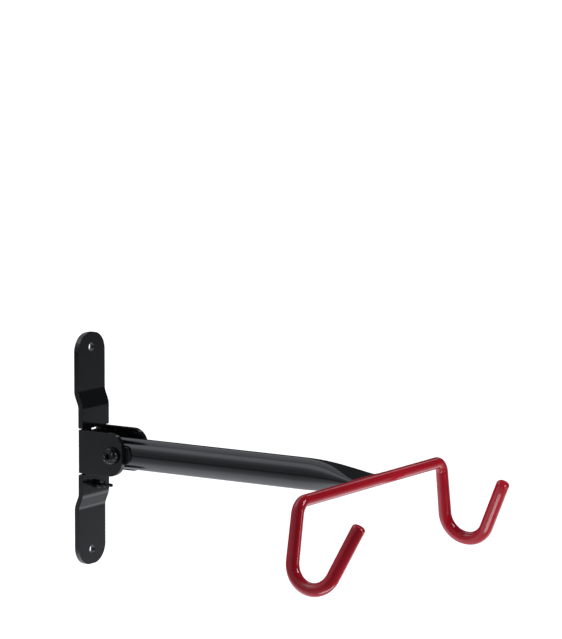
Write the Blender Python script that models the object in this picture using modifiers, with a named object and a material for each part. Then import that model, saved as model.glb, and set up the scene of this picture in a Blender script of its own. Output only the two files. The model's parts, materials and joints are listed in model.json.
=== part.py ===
# Folding wall bike hanger.
# A steel strip is screwed to a wall. Its ears carry a tube that folds up about one bolt, and the
# tube's pressed end carries a red coated double hook for the frame of a bicycle.
# Lengths are in metres. X runs across the strip, the wall is the plane Y = 0, the arm points to -Y
# and Z is up. The origin is the middle of the strip on the wall.
import math

import bmesh
import bpy
from mathutils import Matrix, Vector

# General
GAP = 0.0003                   # left between pieces that touch
WELD = 0.000001                # distance for joining doubled points

# Arm tube
TUBE_DIAMETER = 0.032
TUBE_WALL = 0.002
ARM_LENGTH = 0.2944            # bolt axis to the hook bar's centre line
PRESS_LENGTH = 0.088           # stretch over which the round tube becomes flat
PRESS_EASE = 1.6               # above 1 the tube stays round for longer and then falls faster
SEAM_HOLLOW = 0.0005           # half height at which the pressed bore counts as shut
TAIL_WALL_GAP = 0.0039         # least distance of the turning tail from the wall

# Saddle spacers between the tube and the ears
SADDLE_THICKNESS = 0.0009      # at the thinnest, beside the tube's widest line
SADDLE_LENGTH = 0.039
SADDLE_HEIGHT = 0.018

# Wall plate
PLATE_THICKNESS = 0.0055
PLATE_HEIGHT = 0.240
PLATE_CORNER = 0.0195
SCREW_HOLE = 0.0095
SCREW_INSET = 0.015            # plate end to hole centre
JOGGLE_DEPTH = 0.005
JOGGLE_TOE = 0.058             # height above the middle where the strip leaves the wall
JOGGLE_RISE = 0.012            # length of the sloping stretch
JOGGLE_BEND = 0.014            # inside radius of the joggle's bends
RELIEF_ABOVE = 0.0010          # notch between the ears and the upper strip
RELIEF_BELOW = 0.0018          # and the lower strip
STRIP_CORNER = 0.0015          # rounding of the strip's corners at the notch

# Ears and bolt axis
EAR_HEIGHT = 0.0444
EAR_NOSE = 0.0129              # ear's front beyond the bolt axis
EAR_CORNER = 0.016
BEND_RADIUS = 0.001            # outside of the ear's bend
PIVOT_OUT = 0.0465             # bolt axis to wall
PIVOT_DROP = 0.0006            # bolt axis below the plate's middle

# Opening in the web behind the tail
STOP_PLAY = 0.0003             # tail to the opening's upper arc
SIDE_PLAY = 0.0004
SWEEP_PLAY = 0.0005
SIGHT_SLOT = 0.015             # width of the small slot above the window
SLOT_HEIGHT = 0.003
SLOT_BELOW_NOTCH = 0.0004      # upper notch's edge to the slot's top
SLOT_CORNER = 0.0012

# Bolt, sleeve, washer and nut
BOLT_DIAMETER = 0.010
HEAD_DIAMETER = 0.018
HEAD_HEIGHT = 0.006
HEAD_FLAT = 0.012              # flat face on top of the dome
HEAD_RIM = 0.0012              # straight rim below the dome
KEY_SIZE = 0.006
KEY_DEPTH = 0.003
BOLT_STICK_OUT = 0.0015        # beyond the nut
BOLT_CHAMFER = 0.001
SLEEVE_WALL = 0.002
WASHER_DIAMETER = 0.020
WASHER_THICKNESS = 0.002
NUT_SIZE = 0.017
NUT_HEX_HEIGHT = 0.008
NUT_COLLAR_HEIGHT = 0.002
NUT_COLLAR_WALL = 0.0011
INSERT_THICKNESS = 0.0016

# Catch stud below the ears, and the slot in the tail that passes over it
STUD_DROP = 0.0354             # below the bolt axis
STUD_SHANK = 0.005
STUD_COLLAR = 0.0087
STUD_COLLAR_LENGTH = 0.004
STUD_BODY = 0.0065
STUD_BODY_LENGTH = 0.007
STUD_TIP = 0.0035
STUD_TIP_LENGTH = 0.009
STUD_HEAD = 0.009
STUD_HEAD_HEIGHT = 0.0025
TAIL_SLOT_PLAY = 0.0005

# Double hook
ROD_DIAMETER = 0.010
COAT_THICKNESS = 0.0007        # on the bar
COAT_SWELL = 0.00085           # what the dipped coat is thicker by at the tips
COAT_TONGUE = 0.012            # coated stretch of the flat end, back from the bar's centre line
BAR_LENGTH = 0.2669            # between the corners of the centre line
BAR_BEND = 0.013
LEG_LENGTH = 0.0547
LEG_SPLAY = 0.1739             # sideways run of a leg for each unit down
LEG_LEAN = 0.0071
HOOK_RADIUS = 0.0242
HOOK_TURN = 155.1              # degrees
HOOK_SPLAY = 0.0226
TIP_LENGTH = 0.0552
TIP_ROUND = 0.003

# Facets
TUBE_SIDES = 40
ROD_RESOLUTION = 3             # bevel resolution of the rod and its coat
TURNED_STEPS = 32
PRESS_RINGS = 14
HOOK_STEPS = 14
BEND_STEPS = 5
TIP_STEPS = 3
JOGGLE_STEPS = 4
EAR_STEPS = 12

# Worked out from the sizes above
TUBE_RADIUS = TUBE_DIAMETER / 2
ROD_RADIUS = ROD_DIAMETER / 2
COAT_RADIUS = ROD_RADIUS + GAP + COAT_THICKNESS
EAR_INSIDE = TUBE_RADIUS + SADDLE_THICKNESS + 2 * GAP
HALF_WIDTH = EAR_INSIDE + PLATE_THICKNESS
HALF_HEIGHT = PLATE_HEIGHT / 2
EAR_REACH = PIVOT_OUT + EAR_NOSE
EAR_TOP = EAR_HEIGHT / 2
WEB_BACK = -JOGGLE_DEPTH
WEB_FRONT = -JOGGLE_DEPTH - PLATE_THICKNESS
SWEEP_RADIUS = PIVOT_OUT - TAIL_WALL_GAP
TAIL_LENGTH = math.sqrt(SWEEP_RADIUS ** 2 - TUBE_RADIUS ** 2)
BOLT_HOLE = BOLT_DIAMETER + 2 * GAP
PIVOT = Vector((0, -PIVOT_OUT, -PIVOT_DROP))

# How a flat outline stands in space: seen from the front, from the side and from above
FRONT = Matrix(((1, 0, 0), (0, 0, -1), (0, 1, 0))).to_4x4()
SIDE = Matrix(((0, 0, 1), (1, 0, 0), (0, 1, 0))).to_4x4()
TOP = Matrix.Identity(4)

# How a turned piece stands: its own Z along X, against X and along -Y
ALONG_X = Matrix.Rotation(math.radians(90), 4, "Y")
AGAINST_X = Matrix.Rotation(math.radians(-90), 4, "Y")
OUT_FROM_WALL = Matrix.Rotation(math.radians(90), 4, "X")


def collection(name):
    group = bpy.data.collections.new(name)
    bpy.context.scene.collection.children.link(group)
    return group


def clear_scene():
    for item in list(bpy.data.objects):
        bpy.data.objects.remove(item, do_unlink=True)


def add_object(name, mesh, group, place=None, parent=None):
    item = bpy.data.objects.new(name, mesh)
    group.objects.link(item)
    item.parent = parent
    if place is not None:
        item.matrix_local = place
    return item


def finish(item, colour, roughness, metallic):
    material = bpy.data.materials.new(item.name)
    material.use_nodes = True
    shader = material.node_tree.nodes["Principled BSDF"]
    shader.inputs["Base Color"].default_value = (*colour, 1)
    shader.inputs["Roughness"].default_value = roughness
    shader.inputs["Metallic"].default_value = metallic
    item.data.materials.append(material)
    item.data.shade_smooth()
    item.data.set_sharp_from_angle(angle=math.radians(35))
    return item


def black_paint(item):
    return finish(item, (0.012, 0.012, 0.014), 0.25, 0.0)


def bright_steel(item):
    return finish(item, (0.56, 0.56, 0.57), 0.3, 1.0)


def dark_plastic(item):
    return finish(item, (0.01, 0.01, 0.01), 0.6, 0.0)


def red_vinyl(item):
    return finish(item, (0.5, 0.012, 0.03), 0.3, 0.0)


def as_cutter(item):
    item.hide_render = True
    item.display_type = "WIRE"
    return item


def boolean(item, other, operation):
    step = item.modifiers.new(other.name, "BOOLEAN")
    step.operation = operation
    step.solver = "EXACT"
    step.object = other


def mesh_of_curve(curve_object):
    # A curve's caps are loose, so the mesh made from it is welded
    bpy.context.view_layer.update()
    graph = bpy.context.evaluated_depsgraph_get()
    mesh = bpy.data.meshes.new_from_object(curve_object.evaluated_get(graph))
    work = bmesh.new()
    work.from_mesh(mesh)
    bmesh.ops.remove_doubles(work, verts=work.verts, dist=WELD)
    bmesh.ops.recalc_face_normals(work, faces=work.faces)
    work.to_mesh(mesh)
    work.free()
    curve = curve_object.data
    bpy.data.objects.remove(curve_object)
    bpy.data.curves.remove(curve)
    return mesh


def slab(name, outline, low, high, view, group, parent=None):
    # A flat outline, thick from low to high along its own Z
    curve = bpy.data.curves.new(name, "CURVE")
    curve.dimensions = "2D"
    curve.fill_mode = "BOTH"
    curve.extrude = (high - low) / 2
    spline = curve.splines.new("POLY")
    spline.points.add(len(outline) - 1)
    for point, (across, up) in zip(spline.points, outline):
        point.co = (across, up, 0, 1)
    spline.use_cyclic_u = True
    mesh = mesh_of_curve(add_object(name, curve, group))
    mesh.transform(Matrix.Translation((0, 0, (low + high) / 2)))
    return add_object(name, mesh, group, view, parent)


def arc(centre, radius, start, end, steps):
    # Points on an arc in a plane, angles in degrees
    points = []
    for step in range(steps + 1):
        angle = math.radians(start + (end - start) * step / steps)
        points.append((centre[0] + radius * math.cos(angle), centre[1] + radius * math.sin(angle)))
    return points


def rounded_outline(corners, radii, steps):
    # A closed outline whose corners become arcs, or stay sharp where their radius is 0
    points = []
    for index, place in enumerate(corners):
        corner = Vector(place)
        before = (Vector(corners[index - 1]) - corner).normalized()
        after = (Vector(corners[(index + 1) % len(corners)]) - corner).normalized()
        half = before.angle(after) / 2
        if radii[index] == 0:
            points.append(place)
            continue
        middle = corner + (before + after).normalized() * (radii[index] / math.sin(half))
        reach = radii[index] / math.tan(half)
        first = corner + before * reach - middle
        last = corner + after * reach - middle
        start = math.atan2(first.y, first.x)
        turn = math.remainder(math.atan2(last.y, last.x) - start, 2 * math.pi)
        points += arc(middle, radii[index], math.degrees(start), math.degrees(start + turn), steps)
    return points


def cylinder(name, radius, low, high, place, group, parent=None, sides=TURNED_STEPS):
    work = bmesh.new()
    bmesh.ops.create_cone(work, cap_ends=True, segments=sides, radius1=radius, radius2=radius,
                          depth=high - low)
    bmesh.ops.translate(work, verts=work.verts, vec=(0, 0, (low + high) / 2))
    mesh = bpy.data.meshes.new(name)
    work.to_mesh(mesh)
    work.free()
    return add_object(name, mesh, group, place, parent)


def turned(name, profile, place, group, parent=None, ring=False):
    # The profile holds (radius, height) points down the outer side, from the top to the bottom
    mesh = bpy.data.meshes.new(name)
    edges = [(index, index + 1) for index in range(len(profile) - 1)]
    if ring:
        edges.append((len(profile) - 1, 0))
    mesh.from_pydata([(radius, 0, height) for radius, height in profile], edges, [])
    item = add_object(name, mesh, group, place, parent)
    screw = item.modifiers.new("turn", "SCREW")
    screw.steps = TURNED_STEPS
    screw.render_steps = TURNED_STEPS
    screw.use_merge_vertices = True
    screw.merge_threshold = WELD
    screw.use_smooth_shade = False
    return item


def ring_profile(inner, outer, low, high, edge):
    return [(inner, high), (outer - edge, high), (outer, high - edge), (outer, low + edge),
            (outer - edge, low), (inner, low)]


# Wall plate

def strip_side_outline():
    # The strip seen from the side: flat pads on the wall, the middle joggled forward. It is too
    # long at both ends, where the front outline cuts it.
    knee = JOGGLE_TOE - JOGGLE_RISE
    lean = math.atan2(JOGGLE_DEPTH, JOGGLE_RISE)
    shift = PLATE_THICKNESS * math.tan(lean / 2)
    half = [(0, PLATE_HEIGHT), (0, JOGGLE_TOE), (WEB_BACK, knee)]
    front = [(WEB_FRONT, knee + shift), (-PLATE_THICKNESS, JOGGLE_TOE + shift),
             (-PLATE_THICKNESS, PLATE_HEIGHT)]
    back = half + [(out, -height) for out, height in reversed(half)]
    corners = back + [(out, -height) for out, height in reversed(front)] + front
    inside = JOGGLE_BEND
    outside = JOGGLE_BEND + PLATE_THICKNESS
    back_radii = [0, outside, inside, inside, outside, 0]
    front_radii = [0, inside, outside, outside, inside, 0]
    return rounded_outline(corners, back_radii + front_radii, JOGGLE_STEPS)


def strip_front_outline(sign):
    # Upper (sign 1) or lower (sign -1) part of the strip, narrowed to a neck at the ears
    neck = HALF_WIDTH - PLATE_THICKNESS
    notch = EAR_TOP + (RELIEF_ABOVE if sign > 0 else RELIEF_BELOW)
    corner = HALF_WIDTH - STRIP_CORNER
    end = HALF_WIDTH - PLATE_CORNER
    top = HALF_HEIGHT - PLATE_CORNER
    right = [(neck, EAR_TOP / 2), (neck, notch)]
    right += arc((corner, notch + STRIP_CORNER), STRIP_CORNER, -90, 0, 3)
    right += arc((end, top), PLATE_CORNER, 0, 90, 12)
    left = [(-across, up) for across, up in reversed(right)]
    return [(across, sign * up) for across, up in right + left]


def channel_outline():
    # Web and ears seen from above
    points = [(EAR_INSIDE, WEB_FRONT), (EAR_INSIDE, -EAR_REACH), (HALF_WIDTH, -EAR_REACH)]
    points += arc((HALF_WIDTH - BEND_RADIUS, WEB_BACK - BEND_RADIUS), BEND_RADIUS, 0, 90, 4)
    return points + [(-across, out) for across, out in reversed(points)]


def ear_side_outline():
    front = EAR_CORNER - EAR_REACH
    side = EAR_TOP - EAR_CORNER
    nose = arc((front, side), EAR_CORNER, 90, 180, EAR_STEPS)
    nose += arc((front, -side), EAR_CORNER, 180, 270, EAR_STEPS)
    return [(0, -EAR_TOP), (0, EAR_TOP)] + nose


def window_outline():
    # Opening behind the tail, seen from the front: it clears the tail as it swings down and
    # stops it when the arm is level
    side = TUBE_RADIUS + SIDE_PLAY
    stop = TUBE_RADIUS + STOP_PLAY
    reach = SWEEP_RADIUS ** 2 - (PIVOT_OUT + WEB_FRONT) ** 2
    sweep = math.sqrt(reach) + SWEEP_PLAY
    low_angle = math.degrees(math.acos(side / sweep))
    right = arc((0, 0), sweep, -90, -low_angle, 10)
    right.append((side, 0))
    right += arc((0, 0), stop, 0, 90, 14)[1:]
    left = [(-across, up) for across, up in reversed(right[1:-1])]
    return [(across, up - PIVOT_DROP) for across, up in right + left]


def slot_outline():
    # The small slot above the window, seen from the front
    across = SIGHT_SLOT / 2 - SLOT_CORNER
    top = EAR_TOP + RELIEF_ABOVE - SLOT_BELOW_NOTCH
    high = top - SLOT_CORNER
    low = top - SLOT_HEIGHT + SLOT_CORNER
    points = []
    corners = ((0, across, high), (90, -across, high), (180, -across, low), (270, across, low))
    for start, side, up in corners:
        points += arc((side, up), SLOT_CORNER, start, start + 90, 3)
    return points


def build_wall_plate(parts, cutters):
    plate = slab("wall_plate", channel_outline(), -EAR_TOP, EAR_TOP, TOP, parts)
    ears = slab("ear_shape", ear_side_outline(), -HALF_WIDTH * 2, HALF_WIDTH * 2, SIDE, cutters)
    boolean(plate, as_cutter(ears), "INTERSECT")
    for sign, end in ((1, "upper"), (-1, "lower")):
        strip = slab(end + "_strip", strip_side_outline(), -PLATE_HEIGHT, PLATE_HEIGHT, SIDE, cutters)
        shape = slab(end + "_shape", strip_front_outline(sign), -PLATE_THICKNESS, PLATE_HEIGHT,
                     FRONT, cutters)
        boolean(as_cutter(strip), as_cutter(shape), "INTERSECT")
        boolean(plate, strip, "UNION")
    window = slab("window", window_outline(), -WEB_BACK - PLATE_THICKNESS, PIVOT_OUT / 2, FRONT, cutters)
    boolean(plate, as_cutter(window), "DIFFERENCE")
    slot = slab("sight_slot", slot_outline(), -WEB_BACK - PLATE_THICKNESS, PIVOT_OUT / 2, FRONT, cutters)
    boolean(plate, as_cutter(slot), "DIFFERENCE")
    for sign, end in ((1, "upper"), (-1, "lower")):
        place = Matrix.Translation((0, 0, sign * (HALF_HEIGHT - SCREW_INSET))) @ OUT_FROM_WALL
        hole = cylinder(end + "_hole", SCREW_HOLE / 2, -PLATE_THICKNESS, 2 * PLATE_THICKNESS, place, cutters)
        boolean(plate, as_cutter(hole), "DIFFERENCE")
    bolt_hole = cylinder("bolt_hole", BOLT_HOLE / 2, -2 * HALF_WIDTH, 2 * HALF_WIDTH,
                         Matrix.Translation(PIVOT) @ ALONG_X, cutters)
    boolean(plate, as_cutter(bolt_hole), "DIFFERENCE")
    stud_place = Matrix.Translation((0, 0, -PIVOT_DROP - STUD_DROP)) @ OUT_FROM_WALL
    stud_hole = cylinder("stud_hole", STUD_SHANK / 2 + GAP, -PLATE_THICKNESS, PIVOT_OUT / 2, stud_place,
                         cutters)
    boolean(plate, as_cutter(stud_hole), "DIFFERENCE")
    black_paint(plate)


def build_catch_stud(parts):
    # Its own Z runs out from the wall
    half_hole = STUD_SHANK / 2
    back = -WEB_BACK - GAP
    face = -WEB_FRONT + GAP
    collar = face + STUD_COLLAR_LENGTH
    body = collar + STUD_BODY_LENGTH
    tip = body + STUD_TIP_LENGTH
    edge = STUD_TIP / 4
    profile = [(0, tip), (STUD_TIP / 2 - edge, tip), (STUD_TIP / 2, tip - edge), (STUD_TIP / 2, body),
               (STUD_BODY / 2 - edge, body), (STUD_BODY / 2, body - edge), (STUD_BODY / 2, collar),
               (STUD_COLLAR / 2 - edge, collar), (STUD_COLLAR / 2, collar - edge), (STUD_COLLAR / 2, face),
               (half_hole, face), (half_hole, back), (STUD_HEAD / 2, back),
               (STUD_HEAD / 2, back - STUD_HEAD_HEIGHT / 2), (STUD_HEAD / 3, back - STUD_HEAD_HEIGHT),
               (0, back - STUD_HEAD_HEIGHT)]
    place = Matrix.Translation((0, 0, -PIVOT_DROP - STUD_DROP)) @ OUT_FROM_WALL
    black_paint(turned("catch_stud", profile, place, parts))


# Bolt, washer and nut

def washer_place():
    return HALF_WIDTH + GAP


def nut_place():
    return washer_place() + WASHER_THICKNESS + GAP


def build_pivot_bolt(parts, cutters):
    # Its own Z runs from the head to the nut, from the axis's middle
    seat = -HALF_WIDTH - GAP
    end = nut_place() + NUT_HEX_HEIGHT + NUT_COLLAR_HEIGHT + BOLT_STICK_OUT
    radius = BOLT_DIAMETER / 2
    rim = seat - HEAD_RIM
    dome = HEAD_HEIGHT - HEAD_RIM
    profile = [(0, end), (radius - BOLT_CHAMFER, end), (radius, end - BOLT_CHAMFER), (radius, seat),
               (HEAD_DIAMETER / 2, seat)]
    flat = HEAD_FLAT / 2
    for step in range(7):
        angle = math.radians(90 * step / 6)
        across = flat + (HEAD_DIAMETER / 2 - flat) * math.cos(angle)
        profile.append((across, rim - dome * math.sin(angle)))
    profile.append((0, rim - dome))
    place = Matrix.Translation(PIVOT) @ ALONG_X
    bolt = turned("pivot_bolt", profile, place, parts)
    socket = cylinder("key_socket", KEY_SIZE / math.sqrt(3), -HEAD_HEIGHT, KEY_DEPTH,
                      place @ Matrix.Translation((0, 0, seat - HEAD_HEIGHT)), cutters, sides=6)
    boolean(bolt, as_cutter(socket), "DIFFERENCE")
    black_paint(bolt)


def build_washer(parts):
    low = washer_place()
    profile = ring_profile(BOLT_HOLE / 2, WASHER_DIAMETER / 2, low, low + WASHER_THICKNESS,
                           WASHER_THICKNESS / 8)
    bright_steel(turned("nut_washer", profile, Matrix.Translation(PIVOT) @ ALONG_X, parts, ring=True))


def build_nut(parts, cutters):
    # A hexagon whose corners are turned off at both ends, with a round collar for the nylon ring
    low = nut_place()
    hexagon = low + NUT_HEX_HEIGHT
    top = hexagon + NUT_COLLAR_HEIGHT
    flats = NUT_SIZE / 2
    corners = NUT_SIZE / math.sqrt(3)
    slope = (corners - flats) * math.tan(math.radians(30))
    insert_outside = BOLT_HOLE / 2 + INSERT_THICKNESS + GAP
    collar = insert_outside + NUT_COLLAR_WALL
    place = Matrix.Translation(PIVOT) @ ALONG_X
    nut = cylinder("pivot_nut", corners, low, top, place, parts, sides=6)
    profile = [(BOLT_HOLE / 2, hexagon), (insert_outside, hexagon), (insert_outside, top), (collar, top),
               (collar, hexagon), (flats, hexagon), (corners, hexagon - slope), (corners, low + slope),
               (flats, low), (BOLT_HOLE / 2, low)]
    turning = turned("nut_turning", profile, place, cutters, ring=True)
    boolean(nut, as_cutter(turning), "INTERSECT")
    bright_steel(nut)
    ring = ring_profile(BOLT_HOLE / 2, insert_outside - GAP, hexagon + GAP, top, NUT_COLLAR_HEIGHT / 8)
    insert = turned("nut_insert", ring, place, parts, ring=True)
    finish(insert, (0.05, 0.16, 0.45), 0.5, 0.0)


# Arm

def smooth_share(share):
    return share * share * (3 - 2 * share)


def share_of_height(height):
    # The place along the pressed stretch where the tube has this half height
    fall = (TUBE_RADIUS - height) / (TUBE_RADIUS - TUBE_WALL)
    eased = 0.5 - math.sin(math.asin(1 - 2 * fall) / 3)
    return eased ** (1 / PRESS_EASE)


def half_height(out):
    # Half height of the tube at a distance out from the bolt axis
    share = (out - (ARM_LENGTH - PRESS_LENGTH)) / PRESS_LENGTH
    fall = smooth_share(min(max(share, 0), 1) ** PRESS_EASE)
    return TUBE_RADIUS + (TUBE_WALL - TUBE_RADIUS) * fall


def pressed_section(out, grow):
    # The tube keeps its girth: what it loses in height it gains in width
    high = half_height(out)
    flat = math.pi / 2 * (TUBE_RADIUS - high)
    points = []
    for side in range(TUBE_SIDES):
        angle = 2 * math.pi * (side + 0.5) / TUBE_SIDES
        across = math.copysign(flat, math.cos(angle)) + (high + grow) * math.cos(angle)
        points.append(Vector((across, -out, (high + grow) * math.sin(angle))))
    return points


def loft(name, sections, group, parent):
    # A closed skin over sections that all have the same number of points
    work = bmesh.new()
    rings = [[work.verts.new(point) for point in section] for section in sections]
    count = len(rings[0])
    for near, far in zip(rings, rings[1:]):
        for index in range(count):
            after = (index + 1) % count
            work.faces.new((near[index], near[after], far[after], far[index]))
    work.faces.new(rings[0])
    work.faces.new(rings[-1])
    bmesh.ops.recalc_face_normals(work, faces=work.faces)
    mesh = bpy.data.meshes.new(name)
    work.to_mesh(mesh)
    work.free()
    return add_object(name, mesh, group, None, parent)


def press_stations(end):
    # Distances out from the bolt axis of the pressed stretch's sections
    start = ARM_LENGTH - PRESS_LENGTH
    return [start + (end - start) * step / PRESS_RINGS for step in range(PRESS_RINGS + 1)]


def tongue_end():
    # The pressed end stops at the back of the rod
    return ARM_LENGTH - ROD_RADIUS - GAP


def build_arm_tube(parts, cutters, axis):
    outer = [pressed_section(-TAIL_LENGTH, 0)]
    outer += [pressed_section(out, 0) for out in press_stations(tongue_end())]
    tube = loft("arm_tube", outer, parts, axis)
    shut = ARM_LENGTH - PRESS_LENGTH * (1 - share_of_height(TUBE_WALL + SEAM_HOLLOW))
    shut = min(shut, tongue_end() - TUBE_WALL / 2)
    inner = [pressed_section(-TAIL_LENGTH - TUBE_WALL, -TUBE_WALL)]
    inner += [pressed_section(out, -TUBE_WALL) for out in press_stations(shut)]
    bore = loft("tube_bore", inner, cutters, axis)
    boolean(tube, as_cutter(bore), "DIFFERENCE")
    cross = cylinder("sleeve_hole", sleeve_radius() + GAP, -TUBE_DIAMETER, TUBE_DIAMETER, ALONG_X,
                     cutters, axis)
    boolean(tube, as_cutter(cross), "DIFFERENCE")
    half = tail_slot_half()
    round_centre = TAIL_LENGTH - tail_slot_depth()
    outline = [(half, TAIL_LENGTH + half), (-half, TAIL_LENGTH + half)]
    outline += arc((0, round_centre), half, 180, 360, 12)
    slot = slab("tail_slot", outline, -TUBE_DIAMETER, TUBE_DIAMETER, TOP, cutters, axis)
    boolean(tube, as_cutter(slot), "DIFFERENCE")
    black_paint(tube)


def tail_slot_half():
    return STUD_BODY / 2 + TAIL_SLOT_PLAY


def tail_slot_depth():
    # Straight sided depth of the slot: as far as the stud's thick body and thin tip reach into the tail
    body_end = PIVOT_OUT + WEB_FRONT - GAP - STUD_COLLAR_LENGTH - STUD_BODY_LENGTH
    tip_end = body_end - STUD_TIP_LENGTH
    depth = TAIL_SLOT_PLAY
    for end, radius in ((body_end, STUD_BODY / 2), (tip_end, STUD_TIP / 2)):
        reach = end ** 2 + (STUD_DROP - radius) ** 2
        along = math.sqrt(max(reach - TUBE_RADIUS ** 2, 0))
        into_round = math.sqrt(max((STUD_BODY / 2) ** 2 - radius ** 2, 0))
        depth = max(depth, TAIL_LENGTH - along + TAIL_SLOT_PLAY - into_round)
    return depth


def sleeve_radius():
    return BOLT_HOLE / 2 + SLEEVE_WALL


def build_pivot_sleeve(parts, axis):
    # Its ends stay inside the hollow of the saddle spacers
    half = math.sqrt((TUBE_RADIUS + GAP) ** 2 - sleeve_radius() ** 2) - GAP
    profile = ring_profile(BOLT_HOLE / 2, sleeve_radius(), -half, half, SLEEVE_WALL / 10)
    bright_steel(turned("pivot_sleeve", profile, ALONG_X, parts, axis, ring=True))


def build_saddle(name, sign, parts, cutters, axis):
    # Flat on the ear's side and hollowed to the tube, longer along the arm than it is high
    round_end = SADDLE_HEIGHT / 2
    straight = SADDLE_LENGTH / 2 - round_end
    outline = arc((-straight, 0), round_end, 90, 270, 12) + arc((straight, 0), round_end, -90, 90, 12)
    outside = EAR_INSIDE - GAP
    low, high = sorted((sign * TUBE_RADIUS / 2, sign * outside))
    saddle = slab(name, outline, low, high, SIDE, parts, axis)
    hollow = cylinder(name + "_hollow", TUBE_RADIUS + GAP, -SADDLE_LENGTH, SADDLE_LENGTH,
                      OUT_FROM_WALL, cutters, axis, sides=2 * TUBE_SIDES)
    boolean(saddle, as_cutter(hollow), "DIFFERENCE")
    hole = cylinder(name + "_hole", BOLT_HOLE / 2, -2 * outside, 2 * outside, ALONG_X, cutters, axis)
    boolean(saddle, as_cutter(hole), "DIFFERENCE")
    dark_plastic(saddle)


# Double hook

def turn_points(start, toward, side, radius, angle, steps):
    # Points on an arc that leaves start along toward and bends to side
    centre = start + side * radius
    points = []
    for step in range(1, steps + 1):
        bend = math.radians(angle) * step / steps
        points.append(centre - side * (radius * math.cos(bend)) + toward * (radius * math.sin(bend)))
    return points


def half_yoke(sign):
    # Centre line from near the bar's corner to the hook's tip, in the arm's frame
    corner = Vector((sign * BAR_LENGTH / 2, -ARM_LENGTH, 0))
    along = Vector((sign, 0, 0))
    leg = Vector((sign * LEG_SPLAY, LEG_LEAN, -1)).normalized()
    side = (leg - along * leg.dot(along)).normalized()
    angle = math.degrees(math.acos(along.dot(leg)))
    set_back = BAR_BEND * math.tan(math.radians(angle) / 2)
    points = [corner - along * set_back]
    points += turn_points(points[0], along, side, BAR_BEND, angle, BEND_STEPS)
    foot = corner + leg * LEG_LENGTH
    points.append(foot)
    out = Vector((sign * HOOK_SPLAY, -1, 0))
    out = (out - leg * out.dot(leg)).normalized()
    points += turn_points(foot, leg, out, HOOK_RADIUS, HOOK_TURN, HOOK_STEPS)
    turn = math.radians(HOOK_TURN)
    points.append(points[-1] + (out * math.sin(turn) + leg * math.cos(turn)) * TIP_LENGTH)
    return points


def rounded_end(points, radius, shorten, edge, swell):
    # Points with their shares of the radius. The swell comes mostly early on the way to the tip, and
    # the last point becomes points of falling radius, so that the end's edge is round.
    last = points[-1]
    step = (last - points[-2]).normalized()
    end = last - step * shorten
    lengths = [(after - point).length for point, after in zip(points, points[1:])]
    path = []
    for index, point in enumerate(points[:-1]):
        left = sum(lengths[index:]) / sum(lengths)
        path.append((point, 1 + swell / radius * (1 - left ** 3)))
    tips = []
    for index in range(TIP_STEPS + 1):
        angle = math.radians(90 * index / TIP_STEPS)
        place = end - step * (edge * (1 - math.sin(angle)))
        tips.append((place, 1 + (swell - edge * (1 - math.cos(angle))) / radius))
    return path + tips


def yoke_sweep(name, radius, shorten, edge, swell, group, axis):
    # The whole double hook as one bent round bar
    left = rounded_end(half_yoke(-1), radius, shorten, edge, swell)
    right = rounded_end(half_yoke(1), radius, shorten, edge, swell)
    path = list(reversed(left)) + right
    curve = bpy.data.curves.new(name, "CURVE")
    curve.dimensions = "3D"
    curve.bevel_depth = radius
    curve.bevel_resolution = ROD_RESOLUTION
    curve.use_fill_caps = True
    spline = curve.splines.new("POLY")
    spline.points.add(len(path) - 1)
    for point, (place, share) in zip(spline.points, path):
        point.co = (*place, 1)
        point.radius = share
    return add_object(name, mesh_of_curve(add_object(name, curve, group)), group, None, axis)


def tongue(name, start, end, grow, group, axis):
    steps = PRESS_RINGS // 2
    sections = [pressed_section(start + (end - start) * step / steps, grow) for step in range(steps + 1)]
    return as_cutter(loft(name, sections, group, axis))


def build_yoke(parts, cutters, axis):
    rod = yoke_sweep("yoke_rod", ROD_RADIUS, COAT_THICKNESS + GAP, TIP_ROUND / 2, 0, parts, axis)
    bright_steel(rod)
    mouth = ARM_LENGTH - COAT_TONGUE
    coat = yoke_sweep("vinyl_coating", COAT_RADIUS, 0, TIP_ROUND, COAT_SWELL, parts, axis)
    boolean(coat, tongue("tongue_skin", mouth, ARM_LENGTH, GAP + COAT_THICKNESS, cutters, axis), "UNION")
    hollow = yoke_sweep("rod_space", ROD_RADIUS + GAP, COAT_THICKNESS, TIP_ROUND / 2, 0, cutters, axis)
    boolean(coat, as_cutter(hollow), "DIFFERENCE")
    space = tongue("tongue_space", mouth - COAT_THICKNESS, ARM_LENGTH, GAP, cutters, axis)
    boolean(coat, space, "DIFFERENCE")
    red_vinyl(coat)


def main():
    clear_scene()
    parts = collection("folding_wall_bike_hanger")
    cutters = collection("cutters")
    axis = bpy.data.objects.new("fold_axis", None)
    axis.location = PIVOT
    parts.objects.link(axis)
    build_wall_plate(parts, cutters)
    build_catch_stud(parts)
    build_pivot_bolt(parts, cutters)
    build_washer(parts)
    build_nut(parts, cutters)
    build_arm_tube(parts, cutters, axis)
    build_pivot_sleeve(parts, axis)
    build_saddle("saddle_spacer_left", -1, parts, cutters, axis)
    build_saddle("saddle_spacer_right", 1, parts, cutters, axis)
    build_yoke(parts, cutters, axis)


main()
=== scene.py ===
import bpy
import bmesh
import json
import math
from mathutils import Matrix, Vector


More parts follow.
